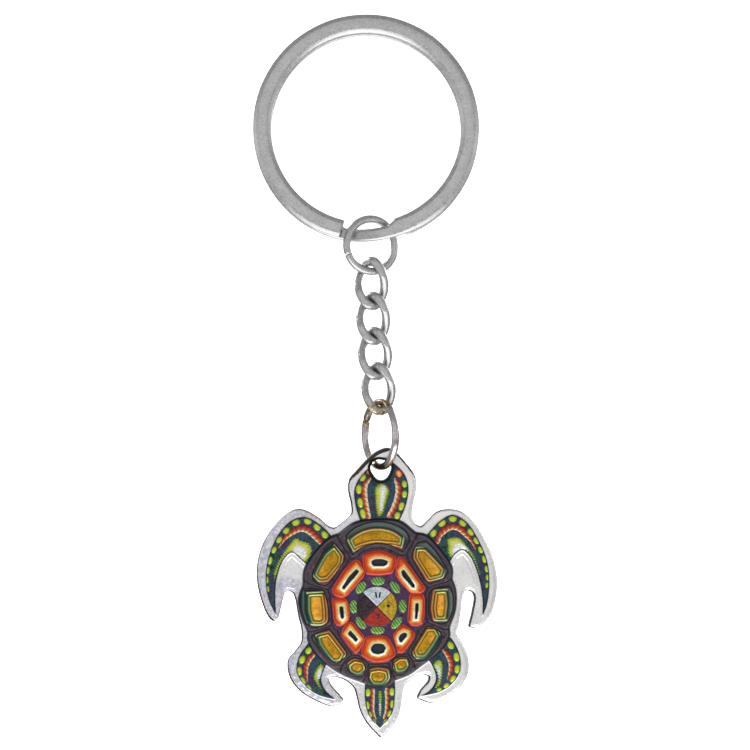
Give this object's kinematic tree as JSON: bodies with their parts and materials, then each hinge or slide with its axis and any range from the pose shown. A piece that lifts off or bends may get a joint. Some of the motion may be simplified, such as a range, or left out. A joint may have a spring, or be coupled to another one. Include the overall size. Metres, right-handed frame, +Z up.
{
  "type": "key ring with turtle pendant",
  "caption": "Key ring with a split ring, a short curb chain and a flat turtle pendant faced with embossed, brightly printed foil.",
  "frame": {"origin": "centre of the key ring, on its mid plane", "axes": "+Z up along the hanging chain, the pendant's decorated face looks along -Y, +X to the viewer's right"},
  "size_m": [0.0325, 0.0086, 0.096],
  "materials": {
    "steel": "nickel plated, softly tumbled",
    "bright_wire": "bright nickel, slightly tarnished",
    "printed_foil": "embossed and printed in transparent inks, silver border",
    "plain_foil": "plain foil with fine wrinkles",
    "board": "laser-cut fibreboard, dark burnt edge",
    "filler": "set paste behind the raised shell"
  },
  "bodies": {
    "key_ring": {"split_ring": "steel"},
    "top_ring": {"top_jump_ring": "steel"},
    "link_1": {"chain_link_1": "steel"},
    "link_2": {"chain_link_2": "steel"},
    "link_3": {"chain_link_3": "steel"},
    "link_4": {"chain_link_4": "steel"},
    "lower_ring": {"lower_jump_ring": "bright_wire"},
    "pendant": {"core_board": "board", "relief_filler": "filler", "front_foil": "printed_foil", "back_foil": "plain_foil"}
  },
  "joints": [
    {"name": "top_ring_swing", "type": "hinge", "parent": "key_ring", "child": "top_ring", "pos_m": [0.00066, 0, -0.0141], "axis": [1, 0, 0], "range_deg": [-45, 30]},
    {"name": "link_1_swing", "type": "hinge", "parent": "top_ring", "child": "link_1", "pos_m": [0.00066, 0, -0.01903], "axis": [0.9135, 0.4067, 0], "range_deg": [-30, 30]},
    {"name": "link_2_swing", "type": "hinge", "parent": "link_1", "child": "link_2", "pos_m": [0.00086, 0, -0.02235], "axis": [0.7067, -0.7071, 0.0247], "range_deg": [-25, 25]},
    {"name": "link_3_swing", "type": "hinge", "parent": "link_2", "child": "link_3", "pos_m": [0.00106, 0, -0.02827], "axis": [0.7067, 0.7071, 0.0247], "range_deg": [-30, 30]},
    {"name": "link_4_swing", "type": "hinge", "parent": "link_3", "child": "link_4", "pos_m": [0.0014, 0, -0.03168], "axis": [0.7044, -0.7071, 0.0616], "range_deg": [-25, 25]},
    {"name": "lower_ring_swing", "type": "hinge", "parent": "link_4", "child": "lower_ring", "pos_m": [0.00192, 0, -0.03758], "axis": [0.7044, 0.7071, 0.0616], "range_deg": [-45, 45]},
    {"name": "pendant_swing", "type": "hinge", "parent": "lower_ring", "child": "pendant", "pos_m": [0.00188, 0, -0.045], "axis": [0.4695, -0.8829, 0], "range_deg": [-50, 50]}
  ]
}
